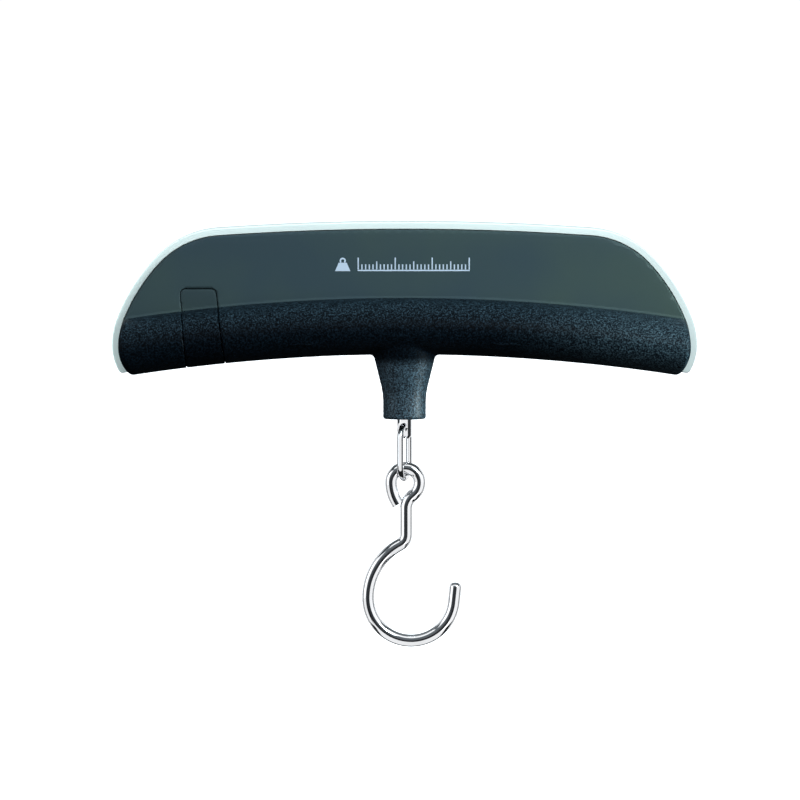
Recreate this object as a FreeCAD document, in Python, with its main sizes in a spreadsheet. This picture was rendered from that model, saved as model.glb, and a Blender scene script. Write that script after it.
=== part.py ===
import FreeCAD, Part
import math
import os
import Sketcher
from FreeCAD import Placement, Rotation, Vector

# Hand-held digital luggage scale.  Millimetres.
# +X runs along the handle, +Z is up, the display side faces +Y.
# The origin is the middle of the grip roll, on the line of pull.

os.makedirs("parts", exist_ok=True)
doc = FreeCAD.newDocument("LuggageScale")

SIZES = {
    "case_half_length": 65.0,
    "case_widest_height": -4.3,
    "shoulder_arc": 21.0,
    "side_arc": 42.0,
    "cheek_arc": 17.0,
    "jaw_arc": 11.5,
    "rim_width": 1.6,
    "seam_gap": 0.1,
    "rear_wall": 1.8,
    "front_wall": 1.5,
    "case_front": 16.5,
    "rim_back": 2.3,
    "roll_parting": 4.0,
    "nest_front": 6.0,
    "arch_radius": 405.3,
    "roll_half_height": 6.3,
    "roll_half_depth": 9.5,
    "stem_radius": 4.77,
    "stem_bottom": -20.6,
    "stem_bore": 3.5,
    "door_gap": 0.15,
    "window_length": 42.0,
    "window_height": 16.4,
    "window_thick": 1.0,
    "view_length": 37.0,
    "view_height": 12.4,
    "bezel_length": 46.0,
    "bezel_height": 20.4,
    "bezel_thick": 0.6,
    "display_centre": 9.5,
    "button_spacing": 31.5,
    "button_length": 10.5,
    "button_height": 7.0,
    "button_stroke": 0.5,
    "board_length": 83.0,
    "board_height": 18.0,
    "board_thick": 1.0,
    "board_back": 9.4,
    "glass_length": 40.0,
    "glass_height": 15.6,
    "glass_thick": 1.9,
    "switch_side": 6.0,
    "switch_thick": 1.6,
    "plunger_radius": 1.5,
    "cell_radius": 6.25,
    "cell_thick": 2.5,
    "beam_length": 52.0,
    "beam_depth": 8.0,
    "beam_height": 6.0,
    "beam_centre": -0.4,
    "beam_hole_spacing": 23.0,
    "screw_radius": 1.5,
    "board_screw_radius": 1.0,
    "rod_radius": 1.7,
    "rod_end": -24.9,
    "rod_hole_radius": 1.2,
    "rod_hole_height": -22.4,
    "link_wire": 0.7,
    "link_end_radius": 2.8,
    "link_top": -24.9,
    "link_foot": -30.97,
    "link_turn": -20.0,
    "hook_wire": 1.35,
    "hook_shift": 0.22,
    "signal_wire_radius": 0.4,
    "battery_wire_radius": 0.5,
}

sheet = doc.addObject("Spreadsheet::Sheet", "Sizes")
for row, (alias, value) in enumerate(SIZES.items(), start=1):
    sheet.set(f"A{row}", alias)
    sheet.set(f"B{row}", str(value))
    sheet.setAlias(f"B{row}", alias)
doc.recompute()


def size(alias):
    return SIZES[alias]


nodes = {}


def node(name, item):
    """Label one finished piece and keep it for the export."""
    item.Label = name
    nodes[name] = item
    return item


# ---------------------------------------------------------------- helpers

def new_body(name):
    return doc.addObject("PartDesign::Body", name)


def origin_plane(body, role):
    return next(f for f in body.Origin.OriginFeatures if f.Role == role)


def new_sketch(body, name, role, offset=0.0):
    """A sketch on one of the body's own planes, moved along its normal."""
    sketch = body.newObject("Sketcher::SketchObject", name)
    sketch.AttachmentSupport = [(origin_plane(body, role), "")]
    sketch.MapMode = "FlatFace"
    sketch.AttachmentOffset = Placement(Vector(0, 0, offset), Rotation())
    return sketch


def front_sketch(body, name, y):
    """A sketch in the X-Z plane at the given Y; its normal is -Y."""
    return new_sketch(body, name, "XZ_Plane", -y)


def draw(sketch, edges):
    for edge in edges:
        sketch.addGeometry(edge, False)


def polygon(points):
    return [Part.LineSegment(Vector(*points[i]), Vector(*points[(i + 1) % len(points)]))
            for i in range(len(points))]


def rounded_rectangle(sketch, x, z, width, height, radius, width_name=None, height_name=None):
    """A constrained rounded rectangle centred on x, z."""
    left, right = x - width / 2, x + width / 2
    low, high = z - height / 2, z + height / 2
    r = radius
    lines = [((left + r, low), (right - r, low)), ((right, low + r), (right, high - r)),
             ((right - r, high), (left + r, high)), ((left, high - r), (left, low + r))]
    centres = [(right - r, low + r, -90), (right - r, high - r, 0),
               (left + r, high - r, 90), (left + r, low + r, 180)]
    ids = []
    arcs = []
    for (start, end), (cx, cz, angle) in zip(lines, centres):
        ids.append(sketch.addGeometry(Part.LineSegment(Vector(*start, 0), Vector(*end, 0)), False))
        circle = Part.Circle(Vector(cx, cz, 0), Vector(0, 0, 1), r)
        arc = Part.ArcOfCircle(circle, math.radians(angle), math.radians(angle + 90))
        arcs.append(sketch.addGeometry(arc, False))
    for i in range(4):
        sketch.addConstraint(Sketcher.Constraint("Tangent", ids[i], 2, arcs[i], 1))
        sketch.addConstraint(Sketcher.Constraint("Tangent", arcs[i], 2, ids[(i + 1) % 4], 1))
    for i, kind in enumerate(("Horizontal", "Vertical", "Horizontal", "Vertical")):
        sketch.addConstraint(Sketcher.Constraint(kind, ids[i]))
    for i in range(3):
        sketch.addConstraint(Sketcher.Constraint("Equal", arcs[i], arcs[i + 1]))
    sketch.addConstraint(Sketcher.Constraint("Radius", arcs[0], r))
    wide = sketch.addConstraint(Sketcher.Constraint("DistanceX", ids[3], 1, ids[1], 1, width))
    tall = sketch.addConstraint(Sketcher.Constraint("DistanceY", ids[0], 1, ids[2], 1, height))
    if width_name:
        sketch.setExpression(f"Constraints[{wide}]", width_name)
    if height_name:
        sketch.setExpression(f"Constraints[{tall}]", height_name)


def circle(sketch, x, z, radius, radius_name=None):
    shape = Part.Circle(Vector(x, z, 0), Vector(0, 0, 1), radius)
    index = sketch.addGeometry(shape, False)
    row = sketch.addConstraint(Sketcher.Constraint("Radius", index, radius))
    if radius_name:
        sketch.setExpression(f"Constraints[{row}]", radius_name)


def pad(body, sketch, length, forward=True):
    """Pad towards +Y when forward, or along the sketch normal when not."""
    feature = body.newObject("PartDesign::Pad", sketch.Name + "Pad")
    feature.Profile = sketch
    feature.Reversed = forward
    set_length(feature, length)
    doc.recompute()
    return feature


def pocket(body, sketch, length, forward=True):
    """Cut towards +Y when forward."""
    feature = body.newObject("PartDesign::Pocket", sketch.Name + "Pocket")
    feature.Profile = sketch
    feature.Reversed = not forward
    set_length(feature, length)
    before = body.Shape.Volume
    doc.recompute()
    if body.Shape.Volume > before - 1e-6:
        raise RuntimeError(f"{sketch.Name} removed nothing")
    return feature


def set_length(feature, length):
    if isinstance(length, str):
        feature.setExpression("Length", length)
    else:
        feature.Length = length


def revolve(body, sketch, angle, cut=False, axis=None):
    kind = "PartDesign::Groove" if cut else "PartDesign::Revolution"
    feature = body.newObject(kind, sketch.Name + "Turn")
    feature.Profile = sketch
    feature.ReferenceAxis = axis or (sketch, ["Axis0"])
    feature.Angle = angle
    feature.Midplane = angle < 360
    doc.recompute()
    return feature


def fillet(body, radius, choose, tries=(1.0, 0.7, 0.45)):
    """Round the chosen edges, stepping the radius down if the kernel refuses."""
    base = body.Tip
    names = [f"Edge{i}" for i, edge in enumerate(base.Shape.Edges, start=1) if choose(edge)]
    if not names:
        raise RuntimeError(f"no edges to round on {body.Name}")
    for share in tries:
        feature = body.newObject("PartDesign::Fillet", body.Name + "Round")
        feature.Base = (base, names)
        feature.Radius = radius * share
        doc.recompute()
        if feature.isValid() and feature.Shape.isValid() and feature.Shape.Volume > 0:
            return feature
        body.removeObject(feature)
        doc.removeObject(feature.Name)
        body.Tip = base
        doc.recompute()
    print("round left out on", body.Name, radius)
    return None


def box(name, lengths, centre):
    """A Part box given by its centre; lengths are numbers or sheet formulas."""
    item = doc.addObject("Part::Box", name)
    values = []
    for prop, length in zip(("Length", "Width", "Height"), lengths):
        if isinstance(length, str):
            item.setExpression(prop, "Sizes." + length)
            values.append(size(length))
        else:
            setattr(item, prop, length)
            values.append(length)
    item.Placement.Base = Vector(*centre) - Vector(*values) * 0.5
    return item


def cylinder(name, radius, length, base, direction):
    item = doc.addObject("Part::Cylinder", name)
    if isinstance(radius, str):
        item.setExpression("Radius", "Sizes." + radius)
    else:
        item.Radius = radius
    item.Height = length
    item.Placement = Placement(Vector(*base), Rotation(Vector(0, 0, 1), Vector(*direction)))
    return item


def cut(name, base, tool):
    item = doc.addObject("Part::Cut", name)
    item.Base = base
    item.Tool = tool
    return item


def join(name, shapes):
    if len(shapes) == 1:
        return shapes[0]
    item = doc.addObject("Part::MultiFuse", name)
    item.Shapes = shapes
    item.Refine = True
    return item


def group(name, shapes):
    """Several separate solids of one kind kept in one node."""
    item = doc.addObject("Part::Compound", name)
    item.Links = shapes
    return item


# ------------------------------------------------------- the case outline

TURNS = (("shoulder_arc", 4.0, 47.0), ("side_arc", 47.0, 68.0), ("cheek_arc", 68.0, 90.0),
         ("jaw_arc", 90.0, 165.0))


def outline_centres():
    """Centres of the right-hand arcs, walked from the widest point upward."""
    x, z = size("case_half_length"), size("case_widest_height")
    centres = {"jaw_arc": (x - size("jaw_arc"), z)}
    for name, start, end in reversed(TURNS[:3]):
        r = size(name)
        sin_end, cos_end = math.sin(math.radians(end)), math.cos(math.radians(end))
        cx, cz = x - r * sin_end, z - r * cos_end
        centres[name] = (cx, cz)
        x = cx + r * math.sin(math.radians(start))
        z = cz + r * math.cos(math.radians(start))
    top_radius = x / math.sin(math.radians(4.0))
    centres["top_arc"] = (0.0, z - top_radius * math.cos(math.radians(4.0)))
    return centres, top_radius


CENTRES, TOP_ARC = outline_centres()


def turned_arc(centre, radius, start, end, mirror):
    """An arc between two headings (0 = along the top, 90 = straight down)."""
    cx, cz = centre
    sign = -1 if mirror else 1
    low, high = (90 - end, 90 - start)
    if mirror:
        low, high = 180 - high, 180 - low
    base = Part.Circle(Vector(sign * cx, cz, 0), Vector(0, 0, 1), radius)
    return Part.ArcOfCircle(base, math.radians(low), math.radians(high))


def arch_meeting(inset, arch, corner):
    """Centre of the corner arc between the jaw arc and the arched bottom."""
    jaw_x, jaw_z = CENTRES["jaw_arc"]
    reach = size("jaw_arc") - inset - corner
    far = arch + corner
    span = math.hypot(jaw_x, jaw_z + size("arch_radius"))
    along = (reach ** 2 - far ** 2 + span ** 2) / (2 * span)
    across = math.sqrt(reach ** 2 - along ** 2)
    ux, uz = -jaw_x / span, (-size("arch_radius") - jaw_z) / span
    return jaw_x + ux * along - uz * across, jaw_z + uz * along + ux * across


def case_outline(inset, arch=None, corner=1.0):
    """Edges of the case outline moved inward; open-bottomed when arch is None."""
    edges = [turned_arc(CENTRES["top_arc"], TOP_ARC - inset, -4.0, 4.0, False)]
    sides = TURNS[:3]
    for name, start, end in sides:
        for mirror in (False, True):
            edges.append(turned_arc(CENTRES[name], size(name) - inset, start, end, mirror))
    jaw = CENTRES["jaw_arc"]
    jaw_radius = size("jaw_arc") - inset
    if arch is None:
        for mirror in (False, True):
            edges.append(turned_arc(jaw, jaw_radius, 90.0, 165.0, mirror))
        x = jaw[0] + jaw_radius * math.sin(math.radians(165.0))
        z = jaw[1] + jaw_radius * math.cos(math.radians(165.0))
        edges += [Part.LineSegment(Vector(x, z, 0), Vector(x, -40, 0)),
                  Part.LineSegment(Vector(x, -40, 0), Vector(-x, -40, 0)),
                  Part.LineSegment(Vector(-x, -40, 0), Vector(-x, z, 0))]
        return edges
    cx, cz = arch_meeting(inset, arch, corner)
    heading = math.degrees(math.atan2(cx - jaw[0], cz - jaw[1]))
    foot = math.degrees(math.atan2(-cx, -size("arch_radius") - cz))
    foot = foot % 360
    for mirror in (False, True):
        edges.append(turned_arc(jaw, jaw_radius, 90.0, heading, mirror))
        edges.append(turned_arc((cx, cz), corner, heading, foot, mirror))
    half = math.degrees(math.asin(cx / (arch + corner)))
    ring = Part.Circle(Vector(0, -size("arch_radius"), 0), Vector(0, 0, 1), arch)
    edges.append(Part.ArcOfCircle(ring, math.radians(90 - half), math.radians(90 + half)))
    return edges


# ------------------------------------------------- rear housing and door

def roll_section(body, name, half_depth, half_height):
    """The ellipse of the grip roll with the axis of its arch."""
    sketch = new_sketch(body, name, "YZ_Plane")
    sketch.addGeometry(Part.Ellipse(Vector(half_depth, 0, 0), Vector(0, half_height, 0),
                                    Vector(0, 0, 0)), False)
    line = Part.LineSegment(Vector(-20, -size("arch_radius"), 0),
                            Vector(20, -size("arch_radius"), 0))
    axis = sketch.addGeometry(line, True)
    row = sketch.addConstraint(Sketcher.Constraint("DistanceY", -1, 1, axis, 1,
                                                   -size("arch_radius")))
    sketch.setExpression(f"Constraints[{row}]", "-Sizes.arch_radius")
    return sketch


seam = size("rim_width") + size("seam_gap")
shell = new_body("rear_shell")

roll = roll_section(shell, "RollSection", size("roll_half_depth"), size("roll_half_height"))
revolve(shell, roll, 19.0)

trim = front_sketch(shell, "EndTrim", -20.0)
draw(trim, polygon([(-90, -60, 0), (90, -60, 0), (90, 60, 0), (-90, 60, 0)]))
draw(trim, case_outline(seam))
pocket(shell, trim, 60.0)
fillet(shell, 1.5, lambda e: abs(e.BoundBox.Center.x) > 56, tries=(1.0, 0.8, 0.6, 0.4))

panel = front_sketch(shell, "PanelOutline", 0.0)
draw(panel, case_outline(seam, arch=size("arch_radius") - 3.9, corner=1.0))
pad(shell, panel, "Sizes.nest_front")

lip = front_sketch(shell, "RollParting", size("roll_parting"))
draw(lip, polygon([(-90, -60, 0), (90, -60, 0), (90, -3.0, 0), (-90, -3.0, 0)]))
pocket(shell, lip, 30.0)
nose = front_sketch(shell, "NestFront", size("nest_front"))
draw(nose, polygon([(-90, -60, 0), (90, -60, 0), (90, 60, 0), (-90, 60, 0)]))
pocket(shell, nose, 30.0)

# the flared stem: straight foot, hollow curve, then a cone into the roll
bend = 15.0
lean = math.radians(14.2)
foot_top = size("stem_bottom") + 3.8
cone_start = (size("stem_radius") + bend * (1 - math.cos(lean)), foot_top + bend * math.sin(lean))
cone_end = (cone_start[0] + math.tan(lean) * (-2.0 - cone_start[1]), -2.0)
flare = Part.Arc(Vector(size("stem_radius"), foot_top, 0),
                 Vector(size("stem_radius") + bend * (1 - math.cos(lean / 2)),
                        foot_top + bend * math.sin(lean / 2), 0),
                 Vector(*cone_start, 0))
stem = new_sketch(shell, "StemSection", "YZ_Plane")
draw(stem, [Part.LineSegment(Vector(0, size("stem_bottom"), 0),
                             Vector(size("stem_radius"), size("stem_bottom"), 0)),
            Part.LineSegment(Vector(size("stem_radius"), size("stem_bottom"), 0),
                             Vector(size("stem_radius"), foot_top, 0)),
            flare,
            Part.LineSegment(Vector(*cone_start, 0), Vector(*cone_end, 0)),
            Part.LineSegment(Vector(*cone_end, 0), Vector(0, -2.0, 0)),
            Part.LineSegment(Vector(0, -2.0, 0), Vector(0, size("stem_bottom"), 0))])
revolve(shell, stem, 360.0, axis=(stem, ["V_Axis"]))


def near(edge, x=None, y=None, z=None, tol=0.05):
    """True when the middle of the edge's box lies at the given coordinates."""
    centre = edge.BoundBox.Center
    wanted = zip((centre.x, centre.y, centre.z), (x, y, z))
    return all(w is None or abs(c - w) < tol for c, w in wanted)


fillet(shell, 0.9, lambda e: e.BoundBox.ZMax < -3.5 and e.BoundBox.ZMin > -9
       and abs(e.BoundBox.Center.x) < 1 and e.BoundBox.XLength > 8 and e.BoundBox.XLength < 20
       and e.BoundBox.YMin < -3)
fillet(shell, 0.5, lambda e: near(e, z=size("stem_bottom"), x=0.0) and e.BoundBox.XLength > 9)

collar = front_sketch(shell, "StemParting", size("roll_parting"))
draw(collar, polygon([(-12, -5.8, 0), (12, -5.8, 0), (12, 2, 0), (-12, 2, 0)]))
pocket(shell, collar, 30.0)

# hollow it out
wall = size("rear_wall")
cavity = roll_section(shell, "RollCavity", size("roll_half_depth") - wall,
                      size("roll_half_height") - wall)
revolve(shell, cavity, 16.9, cut=True)
inner = front_sketch(shell, "PanelCavity", wall)
draw(inner, case_outline(seam + 1.4, arch=size("arch_radius") - 3.9, corner=0.8))
pocket(shell, inner, 30.0)
bore = new_sketch(shell, "StemBore", "XY_Plane", size("stem_bottom"))
circle(bore, 0, 0, size("stem_bore"), "Sizes.stem_bore")
bore_cut = shell.newObject("PartDesign::Pocket", "StemBorePocket")
bore_cut.Profile = bore
bore_cut.Length = 12.2
bore_cut.Reversed = True
doc.recompute()
neck = new_sketch(shell, "StemNeck", "XY_Plane", size("stem_bottom"))
circle(neck, 0, 0, 2.3)
neck_cut = shell.newObject("PartDesign::Pocket", "StemNeckPocket")
neck_cut.Profile = neck
neck_cut.Length = 18.0
neck_cut.Reversed = True
doc.recompute()

# blocks that carry the two ends of the weighing beam
hole_x = size("beam_hole_spacing")
for side, sign in (("Left", -1), ("Right", 1)):
    block = front_sketch(shell, side + "BeamBlock", -size("beam_depth") / 2)
    rounded_rectangle(block, sign * hole_x, -0.7, 6.4, 6.4, 0.6)
    pad(shell, block, 4.4, forward=False)
    tapped = front_sketch(shell, side + "BeamHole", -size("beam_depth") / 2)
    circle(tapped, sign * hole_x, size("beam_centre"), size("screw_radius") + 0.02)
    pocket(shell, tapped, 4.1, forward=False)

DOOR_TOP = 8.4
DOOR_FOOT = -14.0


def door_outline(gap, top_gap=0.0):
    """Door seen square on: rounded top, sides along the radii of the arch."""
    rise = math.tan(math.radians(6.4))
    left = -49.9 - gap
    right = -41.8 + gap
    top = DOOR_TOP - top_gap
    drop = top - DOOR_FOOT
    a, b = (left, top), (right, top)
    c, d = (right + drop * rise * 1.15, DOOR_FOOT), (left + drop * rise * 0.8, DOOR_FOOT)
    return (a, b, c, d), 1.2 + gap


def rounded_top(points, r):
    """Door edges with its two upper corners rounded."""
    a, b, c, d = [Vector(*p, 0) for p in points]
    edges = []

    def corner(prev, here, nxt):
        u = (prev - here).normalize()
        v = (nxt - here).normalize()
        half = math.acos(u.dot(v)) / 2
        reach = r / math.tan(half)
        mid = (u + v).normalize()
        top = here + mid * (r / math.sin(half) - r)
        return here + u * reach, top, here + v * reach

    a_in, a_mid, a_out = corner(d, a, b)
    b_in, b_mid, b_out = corner(a, b, c)
    edges.append(Part.Arc(a_in, a_mid, a_out))
    edges.append(Part.LineSegment(a_out, b_in))
    edges.append(Part.Arc(b_in, b_mid, b_out))
    edges.append(Part.LineSegment(b_out, c))
    edges.append(Part.LineSegment(c, d))
    edges.append(Part.LineSegment(d, a_in))
    return edges


def door_prism(name, gap, front, top_gap=0.0):
    body = new_body(name)
    sketch = front_sketch(body, name + "Outline", -14.0)
    draw(sketch, rounded_top(*door_outline(gap, top_gap)))
    pad(body, sketch, front + 14.0)
    return body


# the wider gap above the door takes a fingernail
door_hole = door_prism("DoorHole", 0.0, 2.5)
door_blank = door_prism("DoorBlank", -size("door_gap"), 2.3, top_gap=0.22)
node("rear_housing", cut("rear_housing", shell, door_hole))
door = doc.addObject("Part::Common", "battery_door")
door.Base = shell
door.Tool = door_blank
node("battery_door", door)

# ------------------------------------------------------------ front cover

front = new_body("front_cover")
outer = front_sketch(front, "CoverOutline", size("rim_back"))
arch_low = size("arch_radius") - 5.6
draw(outer, case_outline(0.0, arch=arch_low, corner=1.0))
pad(front, outer, size("case_front") - size("rim_back"))
fillet(front, 2.6, lambda e: near(e, y=size("case_front")) and e.BoundBox.YLength < 0.01)
fillet(front, 0.35, lambda e: near(e, y=size("rim_back")) and e.BoundBox.YLength < 0.01)
mouth = front_sketch(front, "RimMouth", size("rim_back"))
draw(mouth, case_outline(size("rim_width")))
pocket(front, mouth, size("roll_parting") + 0.1 - size("rim_back"))
hollow = front_sketch(front, "CoverHollow", size("rim_back"))
draw(hollow, case_outline(size("front_wall"), arch=arch_low + size("front_wall"), corner=0.8))
pocket(front, hollow, size("case_front") - 1.8 - size("rim_back"))
view_z = size("display_centre")
recess = front_sketch(front, "WindowRecess", size("case_front"))
rounded_rectangle(recess, 0, view_z, size("window_length") + 0.3, size("window_height") + 0.3, 1.6)
pocket(front, recess, 1.2, forward=False)
opening = front_sketch(front, "WindowOpening", size("case_front"))
rounded_rectangle(opening, 0, view_z, size("view_length"), size("view_height"), 0.8,
                  "Sizes.view_length", "Sizes.view_height")
pocket(front, opening, 6.0, forward=False)
for side, sign in (("Left", -1), ("Right", 1)):
    hole = front_sketch(front, side + "ButtonHole", size("case_front"))
    rounded_rectangle(hole, sign * size("button_spacing"), view_z, size("button_length") + 0.4,
                      size("button_height") + 0.4, 3.6)
    pocket(front, hole, 6.0, forward=False)
POSTS = [(-37.3, 2.8), (-37.3, 16.2), (41.0, 2.8), (41.0, 16.2)]
board_front = size("board_back") + size("board_thick")
for index, (x, z) in enumerate(POSTS):
    post = front_sketch(front, f"Post{index}", board_front)
    circle(post, x, z, 2.2)
    pad(front, post, size("case_front") - 1.6 - board_front)
    pilot = front_sketch(front, f"Pilot{index}", board_front)
    circle(pilot, x, z, size("board_screw_radius") + 0.02)
    pocket(front, pilot, 4.0)
node("front_cover", front)

# ---------------------------------------------------------------- display

face = size("case_front")
window = new_body("display_window")
pane = front_sketch(window, "Pane", face - 0.9)
rounded_rectangle(pane, 0, view_z, size("window_length"), size("window_height"), 1.5,
                  "Sizes.window_length", "Sizes.window_height")
pad(window, pane, "Sizes.window_thick - 0.2")
node("display_window", window)


def frame(name, y, thick, outer_size, inner_size, outer_round, inner_round, centre=(0, view_z)):
    body = new_body(name)
    ring = front_sketch(body, name + "Ring", y)
    rounded_rectangle(ring, *centre, *outer_size, outer_round)
    rounded_rectangle(ring, *centre, *inner_size, inner_round)
    pad(body, ring, thick)
    return body


gasket = frame("window_gasket", face - 1.2, 0.3, (size("window_length"), size("window_height")),
               (size("view_length") + 0.6, size("view_height") + 0.6), 1.5, 1.0)
node("window_gasket", gasket)
bezel = frame("display_bezel", face, size("bezel_thick"),
              (size("bezel_length"), size("bezel_height")),
              (size("window_length") - 1.0, size("window_height") - 1.0), 3.0, 1.2)
fillet(bezel, 0.4, lambda e: near(e, y=face + size("bezel_thick"), tol=0.01)
       and e.BoundBox.YLength < 0.01)
node("display_bezel", bezel)

node("circuit_board", box("circuit_board_blank",
     ("board_length", "board_thick", "board_height"),
     (2.0, size("board_back") + size("board_thick") / 2, view_z)))
holes = [cylinder(f"BoardHole{i}", 1.1, 2.0, (x, size("board_back") - 0.5, z), (0, 1, 0))
         for i, (x, z) in enumerate(POSTS)]
slot_for_led = join("BoardHoles", holes)
node("circuit_board", cut("circuit_board", nodes["circuit_board"], slot_for_led))

glass_back = 12.4
node("lcd_glass", box("lcd_glass", ("glass_length", "glass_thick", "glass_height"),
                      (0, glass_back + size("glass_thick") / 2, view_z)))
node("lcd_frame", frame("lcd_frame", board_front, 4.1, (42.6, 18.0),
                        (size("glass_length") + 0.3, size("glass_height") + 0.3), 1.0, 0.3))
strips = [box(f"Zebra{n}", (38.0, glass_back - board_front, 1.6), (0, (glass_back + board_front) / 2,
          view_z + s * 6.6)) for n, s in enumerate((-1, 1))]
node("zebra_strips", group("zebra_strips", strips))
node("backlight_guide", box("backlight_guide", (34.0, 1.2, 11.0), (-0.9, 11.4, view_z)))
node("backlight_led", box("backlight_led", (1.2, 1.0, 3.0), (17.1, board_front + 0.5, view_z)))

# ------------------------------------------------------- buttons, switches

for name, sign in (("power", 1), ("unit", -1)):
    x = sign * size("button_spacing")
    cap = new_body(name + "_button")
    flange = front_sketch(cap, name + "Flange", 13.9)
    rounded_rectangle(flange, x, view_z, 12.2, 8.6, 4.2)
    pad(cap, flange, 0.7)
    crown = front_sketch(cap, name + "Crown", 14.6)
    rounded_rectangle(crown, x, view_z, size("button_length"), size("button_height"), 3.4,
                      "Sizes.button_length", "Sizes.button_height")
    pad(cap, crown, 2.7)
    tip = front_sketch(cap, name + "Tip", 13.9)
    circle(tip, x, view_z, 1.8)
    pad(cap, tip, 1.2, forward=False)
    fillet(cap, 0.7, lambda e: near(e, y=17.3, tol=0.01) and e.BoundBox.YLength < 0.01)
    node(name + "_button", cap)
    switch = new_body(name + "_switch_body")
    can = front_sketch(switch, name + "Can", board_front)
    rounded_rectangle(can, x, view_z, size("switch_side"), size("switch_side"), 0.5,
                      "Sizes.switch_side", "Sizes.switch_side")
    pad(switch, can, "Sizes.switch_thick")
    well = front_sketch(switch, name + "Well", board_front + size("switch_thick"))
    circle(well, x, view_z, size("plunger_radius") + 0.1)
    pocket(switch, well, 1.3, forward=False)
    node(name + "_switch_body", switch)
    node(name + "_switch_plunger",
         cylinder(name + "_switch_plunger", "plunger_radius", 1.4, (x, 11.3, view_z), (0, 1, 0)))

# ------------------------------------------------------------ electronics

blob = doc.addObject("Part::Ellipsoid", "chip_blob")
blob.Radius1 = 1.2
blob.Radius2 = 3.5
blob.Radius3 = 3.5
blob.Angle1 = 0
blob.Placement = Placement(Vector(8.0, size("board_back"), 9.5),
                           Rotation(Vector(0, 0, 1), Vector(0, -1, 0)))
node("chip_blob", blob)

small = [("Amplifier", (4.9, 1.4, 3.9), (24.0, 12.5)), ("Memory", (4.9, 1.4, 3.9), (32.0, 5.0)),
         ("Crystal", (6.0, 1.6, 2.2), (-6.0, 14.5)), ("CapacitorA", (2.0, 1.2, 1.2), (18.0, 8.0)),
         ("CapacitorB", (2.0, 1.2, 1.2), (18.0, 12.0)), ("CapacitorC", (1.2, 1.0, 2.0), (-14.0, 7.0)),
         ("ResistorA", (1.6, 0.5, 0.8), (-10.0, 4.5)), ("ResistorB", (1.6, 0.5, 0.8), (-10.0, 6.5)),
         ("ResistorC", (1.6, 0.5, 0.8), (28.5, 15.8)), ("ResistorD", (1.6, 0.5, 0.8), (-18.0, 14.0))]
node("board_components", group("board_components", [
    box(label, dims, (x, size("board_back") - dims[1] / 2, z)) for label, dims, (x, z) in small]))


def screw(label, base, radius, length, head_radius, head_length):
    """A pan-headed screw whose shank runs from its head towards or away from +Y."""
    x, y, z, way = base
    shank = cylinder(label + "Shank", radius, length, (x, y, z), (0, way, 0))
    head = cylinder(label + "Head", head_radius, head_length, (x, y, z), (0, -way, 0))
    drive = box(label + "Slot", (head_radius * 1.5, 1.0, 0.6), (x, y - way * head_length, z))
    whole = join(label + "Whole", [shank, head])
    return cut(label, whole, drive)


node("board_screws", group("board_screws", [
    screw(f"BoardScrew{i}", (x, size("board_back"), z, 1), "board_screw_radius", 4.6, 1.8, 1.2)
    for i, (x, z) in enumerate(POSTS)]))

# ---------------------------------------------------------------- battery

CELL_X, CELL_Y, CELL_Z = -44.9, 8.15, 1.35
holder_block = box("HolderBlock", (7.4, 12.4, 14.1), (CELL_X, 8.35, 1.2))
window_slot = box("HolderFront", (3.9, 8.0, 5.0), (CELL_X - 0.05, CELL_Y + 4.0, CELL_Z))
drum = cylinder("HolderDrum", 6.4, 3.9, (CELL_X - 2.0, CELL_Y, CELL_Z), (1, 0, 0))
throat = box("HolderThroat", (3.9, 8.0, 12.9), (CELL_X - 0.05, CELL_Y - 4.0, CELL_Z))
node("battery_holder", cut("battery_holder", holder_block, join("HolderSlot", [drum, throat, window_slot])))
can = cylinder("CellCan", "cell_radius", 2.1, (CELL_X - 1.25, CELL_Y, CELL_Z), (1, 0, 0))
cap_side = cylinder("CellCap", 5.2, 0.4, (CELL_X + 0.85, CELL_Y, CELL_Z), (1, 0, 0))
node("coin_cell", join("coin_cell", [can, cap_side]))
node("cell_plate_contact", box("cell_plate_contact", (0.3, 7.0, 7.0),
                               (CELL_X - 1.25 - 0.17, 9.4, CELL_Z)))
leaf = new_body("cell_spring_contact")
strip = new_sketch(leaf, "Leaf", "XY_Plane", CELL_Z - 2.0)
inner_x = CELL_X + 1.27
draw(strip, polygon([(CELL_X + 1.55, 13.4, 0), (CELL_X + 1.85, 13.4, 0), (CELL_X + 1.85, 10.0, 0),
                     (inner_x + 0.3, 7.6, 0), (CELL_X + 1.75, 5.4, 0), (CELL_X + 1.45, 5.4, 0),
                     (inner_x, 7.6, 0), (CELL_X + 1.55, 10.0, 0)]))
leaf_pad = leaf.newObject("PartDesign::Pad", "LeafPad")
leaf_pad.Profile = strip
leaf_pad.Length = 4.0
doc.recompute()
node("cell_spring_contact", leaf)

# ------------------------------------------------------------- load beam

beam_z = size("beam_centre")
beam = new_body("load_cell")
bar = front_sketch(beam, "Bar", -size("beam_depth") / 2)
rounded_rectangle(bar, 0, beam_z, size("beam_length"), size("beam_height"), 0.4,
                  "Sizes.beam_length", "Sizes.beam_height")
pad(beam, bar, "Sizes.beam_depth")
for index, x in enumerate((-hole_x, hole_x)):
    through = front_sketch(beam, f"BeamScrewHole{index}", -size("beam_depth") / 2)
    circle(through, x, beam_z, 1.65)
    pocket(beam, through, 30.0)
for index, x in enumerate((-12.5, 12.5)):
    waist = front_sketch(beam, f"BeamWaist{index}", -size("beam_depth") / 2)
    rounded_rectangle(waist, x, beam_z, 9.0, 4.2, 2.0)
    pocket(beam, waist, 30.0)
pin_hole = new_sketch(beam, "PinHole", "XY_Plane", -10.0)
circle(pin_hole, 0, 0, size("rod_radius") + 0.1)
pin_cut = beam.newObject("PartDesign::Pocket", "PinHolePocket")
pin_cut.Profile = pin_hole
pin_cut.Length = 30.0
pin_cut.Reversed = True
doc.recompute()
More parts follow.
